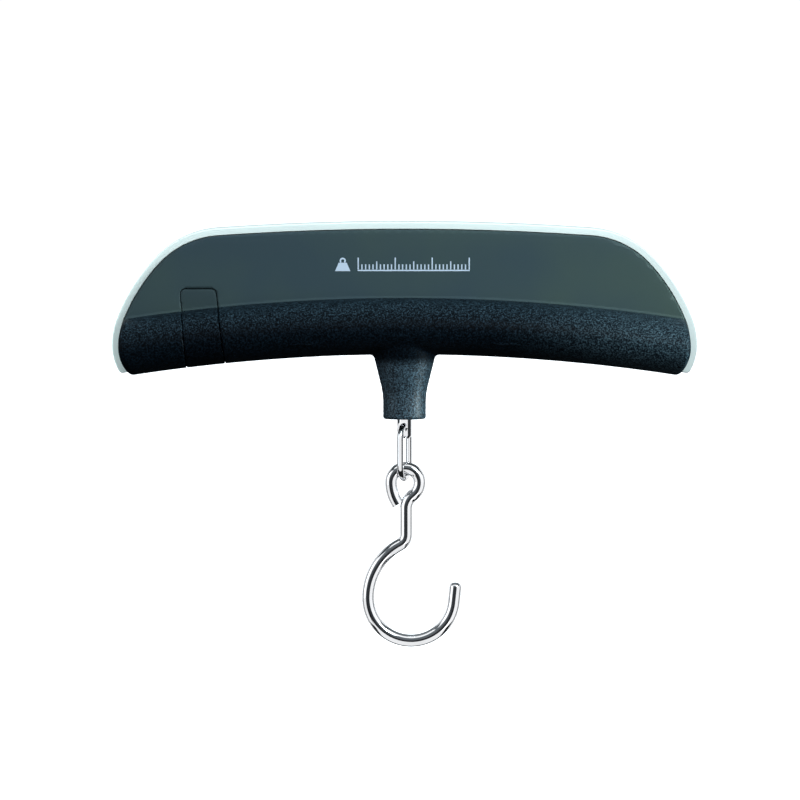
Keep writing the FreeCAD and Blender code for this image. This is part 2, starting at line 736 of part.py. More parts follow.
node("load_cell", beam)
beam_top = beam_z + size("beam_height") / 2
gauges = [box(f"Gauge{i}", (5.0, 4.0, 0.25), (x, 0, beam_z + s * (size("beam_height") / 2 + 0.125)))
          for i, (x, s) in enumerate(((-12.5, 1), (12.5, 1), (-12.5, -1), (12.5, -1)))]
node("strain_gauges", group("strain_gauges", gauges))
beam_face = size("beam_depth") / 2
rings = []
for index, x in enumerate((-hole_x, hole_x)):
    disc = cylinder(f"BeamWasherDisc{index}", 3.0, 0.5, (x, beam_face, beam_z), (0, 1, 0))
    hole = cylinder(f"BeamWasherHole{index}", 1.6, 1.5, (x, beam_face - 0.5, beam_z), (0, 1, 0))
    rings.append(cut(f"BeamWasher{index}", disc, hole))
node("load_cell_washers", group("load_cell_washers", rings))
node("load_cell_screws", group("load_cell_screws", [
    screw(f"BeamScrew{i}", (x, beam_face + 0.5, beam_z, -1), "screw_radius", 12.0, 2.7, 1.6)
    for i, x in enumerate((-hole_x, hole_x))]))

# ----------------------------------------------------- rod, link and hook

def pipe(name, edges, radius, radius_name):
    """A round wire swept along joined straight and circular edges."""
    path = doc.addObject("Part::Feature", name + "Path")
    path.Shape = Part.Wire([e.toShape() for e in edges])
    first = path.Shape.Edges[0]
    start = first.valueAt(first.FirstParameter)
    heading = first.tangentAt(first.FirstParameter)
    section = doc.addObject("Part::Circle", name + "Section")
    section.setExpression("Radius", "Sizes." + radius_name)
    section.Placement = Placement(start, Rotation(Vector(0, 0, 1), heading))
    sweep = doc.addObject("Part::Sweep", name)
    sweep.Sections = [section]
    sweep.Spine = (path, [f"Edge{i}" for i in range(1, len(path.Shape.Edges) + 1)])
    sweep.Solid = True
    sweep.Frenet = False
    doc.recompute()
    expected = math.pi * radius ** 2 * path.Shape.Length
    if abs(sweep.Shape.Volume - expected) > 0.02 * expected:
        raise RuntimeError(f"{name}: swept volume {sweep.Shape.Volume:.2f}, not {expected:.2f}")
    return sweep


turn = size("link_turn")
across = Vector(-math.sin(math.radians(turn)), math.cos(math.radians(turn)), 0)
rod_shank = cylinder("RodShank", "rod_radius", 4.25 - size("rod_end") - 0.6,
                     (0, 0, size("rod_end") + 0.6), (0, 0, 1))
rod_nose = doc.addObject("Part::Cone", "RodNose")
rod_nose.Radius1 = 1.1
rod_nose.setExpression("Radius2", "Sizes.rod_radius")
rod_nose.Height = 0.6
rod_nose.Placement.Base = Vector(0, 0, size("rod_end"))
groove_ring = cylinder("RodGroove", 2.4, 0.7, (0, 0, beam_top + 0.55), (0, 0, 1))
groove_core = cylinder("RodGrooveCore", 1.3, 0.7, (0, 0, beam_top + 0.55), (0, 0, 1))
groove = cut("RodGrooveTool", groove_ring, groove_core)
cross_base = across * -4.0 + Vector(0, 0, size("rod_hole_height"))
cross_hole = cylinder("RodCrossHole", "rod_hole_radius", 8.0, tuple(cross_base), tuple(across))
rod_blank = join("RodBlank", [rod_shank, rod_nose])
node("pull_rod", cut("pull_rod", rod_blank, join("RodTools", [groove, cross_hole])))
disc = cylinder("RodWasherDisc", 3.1, 0.5, (0, 0, beam_top), (0, 0, 1))
node("rod_washer", cut("rod_washer", disc,
                       cylinder("RodWasherHole", 1.8, 1.5, (0, 0, beam_top - 0.5), (0, 0, 1))))
clip_disc = cylinder("ClipDisc", 3.0, 0.6, (0, 0, beam_top + 0.6), (0, 0, 1))
clip_hole = cylinder("ClipHole", 1.35, 1.5, (0, 0, beam_top), (0, 0, 1))
clip_gap = box("ClipGap", (4.0, 2.2, 2.0), (2.4, 0, beam_top + 0.9))
node("rod_clip", cut("rod_clip", clip_disc, join("ClipTool", [clip_hole, clip_gap])))
bush_tube = cylinder("BushTube", size("stem_bore") - 0.02, 5.4, (0, 0, -14.0), (0, 0, 1))
node("stem_bush", cut("stem_bush", bush_tube,
                      cylinder("BushHole", size("rod_radius") + 0.08, 8.0, (0, 0, -15), (0, 0, 1))))

# the link lies in an upright plane turned from the Y-Z plane
end_r = size("link_end_radius")


def link_point(side, z):
    return across * side + Vector(0, 0, z)


top_z, foot_z = size("link_top"), size("link_foot")
node("link", pipe("link", [
    Part.LineSegment(link_point(-end_r, foot_z), link_point(-end_r, top_z)),
    Part.Arc(link_point(-end_r, top_z), link_point(0, top_z + end_r), link_point(end_r, top_z)),
    Part.LineSegment(link_point(end_r, top_z), link_point(end_r, foot_z)),
    Part.Arc(link_point(end_r, foot_z), link_point(0, foot_z - end_r), link_point(-end_r, foot_z)),
], size("link_wire"), "link_wire"))

shift = size("hook_shift")


def arc_xz(cx, cz, radius, start, end):
    """An arc in the X-Z plane; angles in degrees from +X towards +Z."""
    spots = [Vector(cx + shift + radius * math.cos(math.radians(a)), 0,
                    cz + radius * math.sin(math.radians(a)))
             for a in (start, (start + end) / 2, end)]
    return Part.Arc(*spots)


EYE_Z = -34.65
free_side = [arc_xz(-0.04, EYE_Z, 3.15, 90, 180), arc_xz(-3.19 + 8.65, EYE_Z, 8.65, 180, 214.5)]
NECK_X, NECK_Z = 0.15, -40.5
swing = 53.7
s_radius = (3.11 - NECK_X) / (2 * (1 - math.cos(math.radians(swing))))
waist_z = EYE_Z - 2 * s_radius * math.sin(math.radians(swing))
down = [arc_xz(-0.04, EYE_Z, 3.15, 90, 0),
        arc_xz(3.11 - s_radius, EYE_Z, s_radius, 0, -swing),
        arc_xz(NECK_X + s_radius, waist_z, s_radius, 180 - swing, 180)]
shank_foot = -46.24
small_bend, big_bend, sweep_angle = 2.6, 13.35, 62.0
sin_s, cos_s = math.sin(math.radians(sweep_angle)), math.cos(math.radians(sweep_angle))
knee = (NECK_X - small_bend * (1 - cos_s), shank_foot - small_bend * sin_s)
hip = (knee[0] + big_bend * cos_s, knee[1] - big_bend * sin_s)
bowl_radius = 9.55
bowl_x = hip[0] - big_bend + bowl_radius
tip_turn = math.radians(-6.0)
tip_start = Vector(bowl_x + shift + bowl_radius * math.cos(tip_turn), 0,
                   hip[1] + bowl_radius * math.sin(tip_turn))
tip_end = tip_start + Vector(-math.sin(tip_turn), 0, math.cos(tip_turn)) * 3.4
down += [Part.LineSegment(Vector(NECK_X + shift, 0, waist_z), Vector(NECK_X + shift, 0, shank_foot)),
         arc_xz(NECK_X - small_bend, shank_foot, small_bend, 0, -sweep_angle),
         arc_xz(hip[0], hip[1], big_bend, 180 - sweep_angle, 180),
         arc_xz(bowl_x, hip[1], bowl_radius, 180, 354),
         Part.LineSegment(tip_start, tip_end)]
main_wire = pipe("HookMain", down, size("hook_wire"), "hook_wire")
free_wire = pipe("HookFree", free_side, size("hook_wire"), "hook_wire")
SIZES["hook_clear"] = size("hook_wire") + 0.12
row = len(SIZES)
sheet.set(f"A{row}", "hook_clear")
sheet.set(f"B{row}", "=hook_wire + 0.12")
sheet.setAlias(f"B{row}", "hook_clear")
doc.recompute()
clear_wire = pipe("HookClear", down[1:4], size("hook_clear"), "hook_clear")
free_trimmed = cut("HookFreeTrimmed", free_wire, clear_wire)
tip_ball = doc.addObject("Part::Ellipsoid", "HookTip")
tip_ball.Radius1 = 1.0
tip_ball.Radius2 = size("hook_wire")
tip_ball.Radius3 = size("hook_wire")
tip_ball.Placement = Placement(tip_end, Rotation(Vector(0, 0, 1), tip_end - tip_start))
node("hook", join("hook", [main_wire, free_trimmed, tip_ball]))

# ------------------------------------------------------------------ wires

def rounded_path(points, radius):
    """Straight runs joined by arcs of one radius."""
    spots = [Vector(*p) for p in points]
    edges = []
    here = spots[0]
    for before, corner, after in zip(spots, spots[1:], spots[2:]):
        u = (before - corner).normalize()
        v = (after - corner).normalize()
        half = math.acos(max(-1.0, min(1.0, u.dot(v)))) / 2
        reach = radius / math.tan(half)
        start, end = corner + u * reach, corner + v * reach
        middle = corner + (u + v).normalize() * (radius / math.sin(half) - radius)
        edges.append(Part.LineSegment(here, start))
        edges.append(Part.Arc(start, middle, end))
        here = end
    edges.append(Part.LineSegment(here, spots[-1]))
    return edges


back = size("board_back")
SIGNALS = (("red", -13.5, 3.2, -8.0), ("black", -11.5, 1.8, -6.0),
           ("green", 11.5, 1.8, 6.0), ("white", 13.5, 3.2, 8.0))
for colour, x, z, pad_x in SIGNALS:
    lift = beam_top + 0.25 + size("signal_wire_radius") + 0.02
    y0 = 0.9 if colour in ("red", "white") else -0.9
    y1 = 6.8 if colour in ("red", "white") else 5.6
    points = [(x, y0, lift), (x, y1, lift), (pad_x, y1, z), (pad_x, back - 0.02, z)]
    node(f"signal_wire_{colour}", pipe(f"signal_wire_{colour}", rounded_path(points, 0.9),
                                       size("signal_wire_radius"), "signal_wire_radius"))
for name, z in (("positive", 6.6), ("negative", 4.4)):
    points = [(CELL_X + 3.72, 7.4, z), (-33.0, 7.4, z), (-33.0, back - 0.02, z)]
    node(f"battery_wire_{name}", pipe(f"battery_wire_{name}", rounded_path(points, 0.9),
                                      size("battery_wire_radius"), "battery_wire_radius"))

# ----------------------------------------------------------------- export

doc.recompute()
for item in doc.Objects:
    if "Invalid" in item.State or "Error" in item.State:
        raise RuntimeError(f"{item.Name}: {item.State}")
for name, item in nodes.items():
    shape = item.Shape
    if shape.isNull() or not shape.isValid() or shape.Volume <= 0:
        raise RuntimeError(f"{name} has a bad shape")
    shape.exportStep(f"parts/{name}.step")
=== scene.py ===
import math

import bmesh
import bpy
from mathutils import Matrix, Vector, noise
from mathutils.bvhtree import BVHTree


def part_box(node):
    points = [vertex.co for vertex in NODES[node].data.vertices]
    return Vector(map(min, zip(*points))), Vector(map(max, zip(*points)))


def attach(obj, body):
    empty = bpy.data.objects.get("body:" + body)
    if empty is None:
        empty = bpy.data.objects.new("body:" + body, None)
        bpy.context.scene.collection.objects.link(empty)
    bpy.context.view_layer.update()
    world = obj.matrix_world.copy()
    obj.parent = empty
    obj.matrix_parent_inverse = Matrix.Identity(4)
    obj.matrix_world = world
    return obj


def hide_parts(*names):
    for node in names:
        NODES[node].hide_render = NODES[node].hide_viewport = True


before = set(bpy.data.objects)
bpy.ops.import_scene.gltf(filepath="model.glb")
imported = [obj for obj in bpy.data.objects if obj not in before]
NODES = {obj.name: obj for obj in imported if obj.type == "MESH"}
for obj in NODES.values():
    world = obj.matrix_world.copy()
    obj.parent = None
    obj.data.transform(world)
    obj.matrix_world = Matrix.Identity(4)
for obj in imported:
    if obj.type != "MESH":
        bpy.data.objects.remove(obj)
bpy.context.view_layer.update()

MM = 0.001


# ---------------------------------------------------------------- materials

class Mat:
    """A node material with the few helpers the looks here need."""

    def __init__(self, name, colour, rough=0.5, metal=0.0, **sockets):
        self.mat = bpy.data.materials.new(name)
        self.mat.use_nodes = True
        self.nodes = self.mat.node_tree.nodes
        self.links = self.mat.node_tree.links
        self.shader = self.nodes["Principled BSDF"]
        self.set("Base Color", (*colour, 1.0))
        self.set("Roughness", rough)
        self.set("Metallic", metal)
        for key, value in sockets.items():
            self.set(key.replace("_", " "), value)
        self.coords = self.nodes.new("ShaderNodeTexCoord").outputs["Object"]

    def set(self, socket, value):
        self.shader.inputs[socket].default_value = value

    def noise(self, scale, detail=3.0, rough=0.5, stretch=None):
        node = self.nodes.new("ShaderNodeTexNoise")
        node.inputs["Scale"].default_value = scale
        node.inputs["Detail"].default_value = detail
        node.inputs["Roughness"].default_value = rough
        source = self.coords
        if stretch:
            mapping = self.nodes.new("ShaderNodeMapping")
            mapping.inputs["Scale"].default_value = stretch
            self.links.new(source, mapping.inputs["Vector"])
            source = mapping.outputs["Vector"]
        self.links.new(source, node.inputs["Vector"])
        return node.outputs["Fac"]

    def grey(self, level):
        node = self.nodes.new("ShaderNodeRGB")
        node.outputs["Color"].default_value = (level, level, level, 1.0)
        return node.outputs["Color"]

    def ramp(self, factor, low, high, start=0.3, end=0.7):
        node = self.nodes.new("ShaderNodeValToRGB")
        first, last = node.color_ramp.elements
        first.position, last.position = start, end
        first.color, last.color = (*low, 1.0), (*high, 1.0)
        self.links.new(factor, node.inputs["Fac"])
        return node.outputs["Color"]

    def vary_colour(self, factor, low, high):
        self.links.new(self.ramp(factor, low, high), self.shader.inputs["Base Color"])

    def vary_rough(self, factor, low, high):
        node = self.nodes.new("ShaderNodeMapRange")
        node.inputs["To Min"].default_value = low
        node.inputs["To Max"].default_value = high
        self.links.new(factor, node.inputs["Value"])
        self.links.new(node.outputs["Result"], self.shader.inputs["Roughness"])

    def bump(self, height, strength, distance):
        node = self.nodes.new("ShaderNodeBump")
        node.inputs["Strength"].default_value = strength
        node.inputs["Distance"].default_value = distance
        self.links.new(height, node.inputs["Height"])
        last = self.shader.inputs["Normal"]
        if last.is_linked:  # a second bump adds to the first
            self.links.new(last.links[0].from_socket, node.inputs["Normal"])
        self.links.new(node.outputs["Normal"], last)


def srgb(*values):
    """sRGB 0..255 to linear."""
    out = []
    for v in values:
        c = v / 255
        out.append(c / 12.92 if c <= 0.04045 else ((c + 0.055) / 1.055) ** 2.4)
    return tuple(out)


def moulded(name, colour, rough, grain=0.15, variation=0.12):
    """Injection-moulded plastic: faint mottling and a fine spark-eroded grain."""
    m = Mat(name, colour, rough)
    dark = tuple(c * (1 - variation) for c in colour)
    light = tuple(min(1.0, c * (1 + variation)) for c in colour)
    m.vary_colour(m.noise(90, 4), dark, light)
    m.vary_rough(m.noise(600, 2), rough - 0.06, rough + 0.08)
    m.bump(m.noise(2600, 2), grain, 0.00006)
    return m.mat


def metal(name, colour, rough, brushed=None, spread=0.08):
    """Bare metal: slightly uneven tone and gloss, drawn out along one way if brushed."""
    m = Mat(name, colour, rough, 1.0)
    fine = m.noise(900, 3, stretch=brushed)
    m.vary_rough(fine, max(0.02, rough - spread), rough + spread)
    dark = tuple(c * 0.92 for c in colour)
    m.vary_colour(m.noise(140, 3), dark, colour)
    if brushed:
        m.bump(fine, 0.15, 0.00002)
    return m.mat


ARCH_RADIUS = 0.4053  # to the middle of the roll
CREASE_RADIUS = 0.4116  # to the line where roll and panel meet
STEM_RADIUS = 0.3988  # to the underside of the roll, where the stem begins


def arch_distance(m):
    """Distance from the axis of the arch that the panel, the roll and the rim all follow."""
    offset = m.nodes.new("ShaderNodeVectorMath")
    offset.operation = "MULTIPLY_ADD"
    offset.inputs[1].default_value = (1.0, 0.0, 1.0)
    offset.inputs[2].default_value = (0.0, 0.0, ARCH_RADIUS)
    m.links.new(m.coords, offset.inputs[0])
    length = m.nodes.new("ShaderNodeVectorMath")
    length.operation = "LENGTH"
    m.links.new(offset.outputs["Vector"], length.inputs[0])
    return length.outputs["Value"]


def step_mask(m, value, start, end, low=0.0, high=1.0):
    """Smooth step from low at start to high at end."""
    span = m.nodes.new("ShaderNodeMapRange")
    span.interpolation_type = "SMOOTHSTEP"
    span.inputs["From Min"].default_value = start
    span.inputs["From Max"].default_value = end
    span.inputs["To Min"].default_value = low
    span.inputs["To Max"].default_value = high
    m.links.new(value, span.inputs["Value"])
    return span.outputs["Result"]


def mixed(m, factor, first, second):
    """Colour that goes from first to second with the factor."""
    node = m.nodes.new("ShaderNodeMix")
    node.data_type = "RGBA"
    m.links.new(factor, node.inputs["Factor"])
    m.links.new(first, node.inputs[6])
    m.links.new(second, node.inputs[7])
    return node.outputs[2]


def times(m, first, second):
    node = m.nodes.new("ShaderNodeMath")
    node.operation = "MULTIPLY"
    m.links.new(first, node.inputs[0])
    m.links.new(second, node.inputs[1])
    return node.outputs["Value"]


def rear_plastic():
    """Smooth slate panel; near-black grained roll with painted shade over its lower half, painted
    light rising toward the crease and painted light toward +X; the grain paler on the stem.
    """
    m = Mat("rear_slate", (0.1, 0.1, 0.1))
    arch = arch_distance(m)
    place = m.nodes.new("ShaderNodeSeparateXYZ")
    m.links.new(m.coords, place.inputs["Vector"])
    panel = times(m, step_mask(m, arch, CREASE_RADIUS - 0.0006, CREASE_RADIUS - 0.0001),
                  step_mask(m, place.outputs["Y"], -0.0009, -0.0003))
    stem = step_mask(m, arch, STEM_RADIUS, STEM_RADIUS - 0.003)
    specks = m.noise(3000, 2, rough=0.6)
    smooth = m.ramp(m.noise(24, 3), srgb(54, 69, 75), srgb(62, 77, 73), 0.38, 0.64)
    # Painted shade and light on the roll: the darker grain (low) fills its lower half, and the
    # paler grain (high) is painted light rising toward the crease, as from a lamp overhead.
    low = m.ramp(specks, srgb(2, 4, 7), srgb(22, 36, 47), 0.44, 0.74)
    high = m.ramp(specks, srgb(3, 9, 15), srgb(58, 80, 92), 0.47, 0.74)
    roll = mixed(m, step_mask(m, arch, ARCH_RADIUS, CREASE_RADIUS - 0.0012), low, high)
    # Painted light toward the roll's +X end, as from a lamp on that side.
    right_lit_end = m.ramp(specks, srgb(7, 15, 22), srgb(76, 98, 107), 0.44, 0.74)
    roll = mixed(m, step_mask(m, place.outputs["X"], 0.018, 0.060), roll, right_lit_end)
    shank = m.ramp(specks, srgb(9, 17, 24), srgb(86, 112, 126), 0.42, 0.70)
    skin = mixed(m, panel, mixed(m, stem, roll, shank), smooth)
    m.links.new(skin, m.shader.inputs["Base Color"])
    m.links.new(step_mask(m, panel, 0.0, 1.0, 0.44, 0.36), m.shader.inputs["Roughness"])
    m.links.new(mixed(m, panel, mixed(m, stem, m.grey(0.07), m.grey(0.5)), m.grey(0.12)),
                m.shader.inputs["Specular IOR Level"])
    grip = step_mask(m, panel, 0.0, 1.0, 1.0, 0.0)
    m.bump(times(m, grip, specks), 0.6, 0.00012)
    m.bump(m.noise(2600, 2), 0.05, 0.00004)
    return m.mat


REAR = rear_plastic()
COVER = moulded("cover_silver", srgb(240, 247, 241), 0.32, grain=0.05, variation=0.02)
TRIM = moulded("trim_dark", srgb(52, 60, 64), 0.22, grain=0.03)
KEY = moulded("key_plastic", srgb(60, 74, 80), 0.38, grain=0.08)
BLACK = moulded("black_plastic", srgb(30, 31, 33), 0.5)
WHITE = moulded("white_plastic", srgb(225, 224, 218), 0.45)
FOAM = moulded("foam", srgb(38, 38, 39), 0.9, grain=0.5)
STEEL = metal("steel", (0.60, 0.60, 0.61), 0.28)
ALUMINIUM = metal("beam_aluminium", (0.77, 0.78, 0.80), 0.34, brushed=(0.1, 1.0, 1.0))
CHROME = metal("hook_chrome", (0.86, 0.87, 0.89), 0.06, spread=0.03)
GAUGE = moulded("gauge_film", srgb(196, 150, 84), 0.3)
SOLDER_MASK = moulded("solder_mask", srgb(24, 104, 58), 0.3, variation=0.2)
CHIPS = moulded("chip_black", srgb(26, 26, 28), 0.42)
INSULATION = {
    "red": moulded("wire_red", srgb(190, 30, 28), 0.45),
    "black": moulded("wire_black", srgb(22, 22, 23), 0.45),
    "green": moulded("wire_green", srgb(26, 120, 58), 0.45),
    "white": moulded("wire_white", srgb(228, 228, 224), 0.45),
}


def clear(name, colour, rough, alpha):
    """Thin clear plastic that shows what lies behind it."""
    m = Mat(name, colour, rough, IOR=1.49, Alpha=alpha)
    m.vary_rough(m.noise(300, 2), rough, rough + 0.03)
    return m.mat


WINDOW = clear("window_acrylic", (0.30, 0.34, 0.35), 0.03, 0.10)
GLASS = moulded("lcd_glass", srgb(158, 172, 152), 0.18, grain=0.0, variation=0.03)

LOOKS = {
    "rear_housing": REAR, "battery_door": REAR, "front_cover": COVER, "display_window": WINDOW,
    "window_gasket": FOAM, "display_bezel": TRIM, "lcd_glass": GLASS, "lcd_frame": BLACK,
    "zebra_strips": FOAM, "backlight_guide": WHITE, "backlight_led": WHITE, "power_button": KEY,
    "unit_button": KEY, "power_switch_body": BLACK, "power_switch_plunger": WHITE,
    "unit_switch_body": BLACK, "unit_switch_plunger": WHITE, "circuit_board": SOLDER_MASK,
    "chip_blob": CHIPS, "board_components": CHIPS, "board_screws": STEEL, "battery_holder": BLACK,
    "coin_cell": STEEL, "cell_spring_contact": STEEL, "cell_plate_contact": STEEL,
    "battery_wire_positive": INSULATION["red"], "battery_wire_negative": INSULATION["black"],
    "load_cell": ALUMINIUM, "strain_gauges": GAUGE, "load_cell_screws": STEEL,
    "load_cell_washers": STEEL, "signal_wire_red": INSULATION["red"],
    "signal_wire_black": INSULATION["black"], "signal_wire_green": INSULATION["green"],
    "signal_wire_white": INSULATION["white"], "pull_rod": CHROME, "rod_washer": STEEL,
    "rod_clip": STEEL, "stem_bush": WHITE, "link": CHROME, "hook": CHROME,
}
for name, look in LOOKS.items():
    mesh = NODES[name].data
    mesh.materials.clear()
    mesh.materials.append(look)

# -------------------------------------------------- fine skins for the rear

VOXEL = 0.30 * MM
FLAT_MERGE = 0.0001
ROLL_HALF_HEIGHT = 6.3 * MM
ROLL_HALF_DEPTH = 9.5 * MM
STEM_WALL_MIDDLE = 4.0 * MM
CELL = 0.85 * MM
GRAIN_DEPTH = 0.07 * MM


def smoothstep(value, low, high):
    t = min(1.0, max(0.0, (value - low) / (high - low)))
    return t * t * (3 - 2 * t)


def evaluated(obj):
    """Bake the object's modifiers into its mesh."""
    graph = bpy.context.evaluated_depsgraph_get()
    mesh = bpy.data.meshes.new_from_object(obj.evaluated_get(graph))
    obj.modifiers.clear()
    obj.data = mesh


def grain(point):
    """0 on a pebble's crown to 1 in the valley beside it."""
    near, second = noise.voronoi(point / CELL)[0][:2]
    valley = 1 - smoothstep(second - near, 0.05, 0.45)
    return valley * (0.6 + 0.4 * noise.noise(point / (3 * CELL)))


def grip_depth(point):
    """1 on the outside of the roll and the stem, fading to 0 at the crease and inside the case."""
    arch = math.hypot(point.x, point.z + ARCH_RADIUS)
    if arch > STEM_RADIUS:
        section = math.hypot((arch - ARCH_RADIUS) / ROLL_HALF_HEIGHT, point.y / ROLL_HALF_DEPTH)
        inside = section < 0.85
    else:
        inside = math.hypot(point.x, point.y) < STEM_WALL_MIDDLE
    if inside or arch > CREASE_RADIUS + 0.5 * MM:
        return 0.0
    return 1.0 if arch < STEM_RADIUS else 1 - smoothstep(point.y, -1.6 * MM, -0.5 * MM)


def grained_skin(node, name, body):
    """Even fine mesh over a CAD piece, with the moulded grain cut into its roll and stem."""
    cad = NODES[node].data
    surface = BVHTree.FromPolygons([v.co for v in cad.vertices], [p.vertices for p in cad.polygons])
    skin = bpy.data.objects.new(name, NODES[node].data.copy())
    bpy.context.scene.collection.objects.link(skin)
    even = skin.modifiers.new("even", "REMESH")
    even.mode = "VOXEL"
    even.voxel_size = VOXEL
    even.adaptivity = FLAT_MERGE
    even.use_smooth_shade = True
    evaluated(skin)
    mesh = skin.data
    for vertex in mesh.vertices:
        spot = surface.find_nearest(vertex.co, VOXEL)[0]
        if spot:
            vertex.co = spot
    sunk = []  # all steps are found before any vertex moves, as moves change the normals
    for vertex in mesh.vertices:
        amount = grip_depth(vertex.co)
        if amount > 0:
            sunk.append((vertex, vertex.normal * amount * grain(vertex.co) * GRAIN_DEPTH))
    for vertex, step in sunk:
        vertex.co -= step
    flatter = skin.modifiers.new("flatter", "WEIGHTED_NORMAL")
    flatter.mode = "FACE_AREA"
    flatter.weight = 90
    evaluated(skin)
    skin.data.materials.clear()
    skin.data.materials.append(REAR)
    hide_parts(node)
    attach(skin, body)


grained_skin("rear_housing", "rear_skin", "casing")
grained_skin("battery_door", "door_skin", "battery_cover")

# ------------------------------------------------- printing, digits, symbols

PRINT_THICK = 0.06 * MM


def printed(name, shapes, side, look, body):
    """Flat closed outlines in X-Z, as a thin layer; side = -1 is seen from -Y, +1 from +Y."""
    mesh = bpy.data.meshes.new(name)
    work = bmesh.new()
    for points, level in shapes:
        face = work.faces.new([work.verts.new((x, level, z)) for x, z in points])
        raised = bmesh.ops.extrude_face_region(work, geom=[face])["geom"]
        tops = [v for v in raised if isinstance(v, bmesh.types.BMVert)]
        bmesh.ops.translate(work, verts=tops, vec=(0, side * PRINT_THICK, 0))
    bmesh.ops.recalc_face_normals(work, faces=work.faces)
    work.to_mesh(mesh)
    work.free()
    mesh.materials.append(look)
    obj = bpy.data.objects.new(name, mesh)
    bpy.context.scene.collection.objects.link(obj)
    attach(obj, body)


def bar(x0, z0, x1, z1):
    return [(x0, z0), (x1, z0), (x1, z1), (x0, z1)]


def arc_band(cx, cz, inner, outer, start, end, steps=20):
    """Band between two arcs, angles in degrees."""
    angles = [math.radians(start + (end - start) * i / steps) for i in range(steps + 1)]
    outside = [(cx + outer * math.cos(a), cz + outer * math.sin(a)) for a in angles]
    inside = [(cx + inner * math.cos(a), cz + inner * math.sin(a)) for a in reversed(angles)]
    return outside + inside


def capacity_mark():
    """A hanging weight and a graduated rule, in place of the printed wording."""
    left, base, height = -15.4 * MM, 12.2 * MM, 3.0 * MM
    body = [(left, base), (left + 3.4 * MM, base), (left + 2.6 * MM, base + 0.62 * height),
            (left + 0.8 * MM, base + 0.62 * height)]
    ring = arc_band(left + 1.7 * MM, base + 0.76 * height, 0.35 * MM, 0.7 * MM, -45, 225)
    shapes = [body, ring]
    start, pitch, count = left + 5.0 * MM, 0.82 * MM, 31
    shapes.append(bar(start, base, start + (count - 1) * pitch + 0.28 * MM, base + 0.3 * MM))
    for i in range(count):
        x = start + i * pitch
        tall = height if i % 10 == 0 else height * (0.72 if i % 5 == 0 else 0.5)
        shapes.append(bar(x, base + 0.36 * MM, x + 0.28 * MM, base + tall))
    return shapes


INK = moulded("mark_ink", srgb(206, 222, 238), 0.4, grain=0.03, variation=0.03)
PANEL_FACE = 0.02 * MM
printed("capacity_mark", [(shape, PANEL_FACE) for shape in capacity_mark()], -1, INK,
        "casing")

BAR_THICK = 1.0 * MM
BAR_GAP = 0.12 * MM
FIGURE_WIDTH, FIGURE_HEIGHT, FIGURE_PITCH = 4.0 * MM, 8.0 * MM, 6.6 * MM
POINT_SPACE = 1.2 * MM
SLANT = math.tan(math.radians(6))


def level_bar(level):
    """Mitred bar across a figure, at a height above its foot."""
    near, far = BAR_GAP, FIGURE_WIDTH - BAR_GAP
    return [(near, level), (near + BAR_THICK / 2, level + BAR_THICK / 2),
            (far - BAR_THICK / 2, level + BAR_THICK / 2), (far, level),
            (far - BAR_THICK / 2, level - BAR_THICK / 2),
            (near + BAR_THICK / 2, level - BAR_THICK / 2)]


def upright_bar(side, foot):
    """Mitred bar half a figure high."""
    low, high = foot + BAR_GAP, foot + FIGURE_HEIGHT / 2 - BAR_GAP
    return [(side, low), (side + BAR_THICK / 2, low + BAR_THICK / 2),
            (side + BAR_THICK / 2, high - BAR_THICK / 2), (side, high),
            (side - BAR_THICK / 2, high - BAR_THICK / 2),
            (side - BAR_THICK / 2, low + BAR_THICK / 2)]


def zero(x, z):
    """Seven-segment 0; (x, z) is its lower left as read from +Y."""
    half = FIGURE_HEIGHT / 2
    bars = [level_bar(FIGURE_HEIGHT), upright_bar(FIGURE_WIDTH, half), upright_bar(FIGURE_WIDTH, 0),
            level_bar(0), upright_bar(0, 0), upright_bar(0, half)]
    return [[(x - (right + up * SLANT), z + up) for right, up in points] for points in bars]


def battery_gauge(x, z):
    """Outlined cell with three bars; (x, z) is its lower corner on the +X side."""
    width, height, line, split = 3.2 * MM, 1.7 * MM, 0.25 * MM, 0.02 * MM
    shapes = [bar(x - width, z, x, z + line), bar(x - width, z + height - line, x, z + height)]
    for side in (x - line, x - width):
        shapes.append(bar(side, z + line + split, side + line, z + height - line - split))
    for i in range(3):
        start = x - (0.9 + 0.8 * i) * MM
        shapes.append(bar(start, z + 0.42 * MM, start + 0.48 * MM, z + 1.28 * MM))
    return shapes


def lcd_marks(x, z):
    """The reading 0.00, a battery gauge and a pointer, round the middle (x, z) of the glass."""
    first, foot = x + 9.0 * MM, z - 4.2 * MM
    shapes = zero(first, foot)
    for place in (1, 2):
        shapes += zero(first - place * FIGURE_PITCH - POINT_SPACE, foot)
    point = first - FIGURE_PITCH + 0.6 * MM
    shapes.append(bar(point - 0.5 * MM, z - 4.7 * MM, point + 0.5 * MM, z - 3.7 * MM))
    shapes += battery_gauge(x + 16.6 * MM, z + 2.6 * MM)
    tip = x - 15.0 * MM
    shapes.append([(tip, z - 3.4 * MM), (tip - 1.7 * MM, z - 2.4 * MM),
                   (tip - 1.7 * MM, z - 4.4 * MM)])
    return shapes


glass_low, glass_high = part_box("lcd_glass")
LCD_FACE = glass_high[1] - 0.01 * MM
marks = lcd_marks((glass_low[0] + glass_high[0]) / 2, (glass_low[2] + glass_high[2]) / 2)
SEGMENT = moulded("lcd_segment", srgb(14, 17, 16), 0.35, grain=0.0, variation=0.05)
printed("lcd_figures", [(shape, LCD_FACE) for shape in marks], 1, SEGMENT, "casing")


def button_face(node):
    """Middle of a button's face, a little below its crown."""
    low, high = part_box(node)
    return (low[0] + high[0]) / 2, high[1] - 0.045 * MM, (low[2] + high[2]) / 2


WHITE_INK = moulded("symbol_ink", srgb(226, 232, 234), 0.45, grain=0.02, variation=0.03)


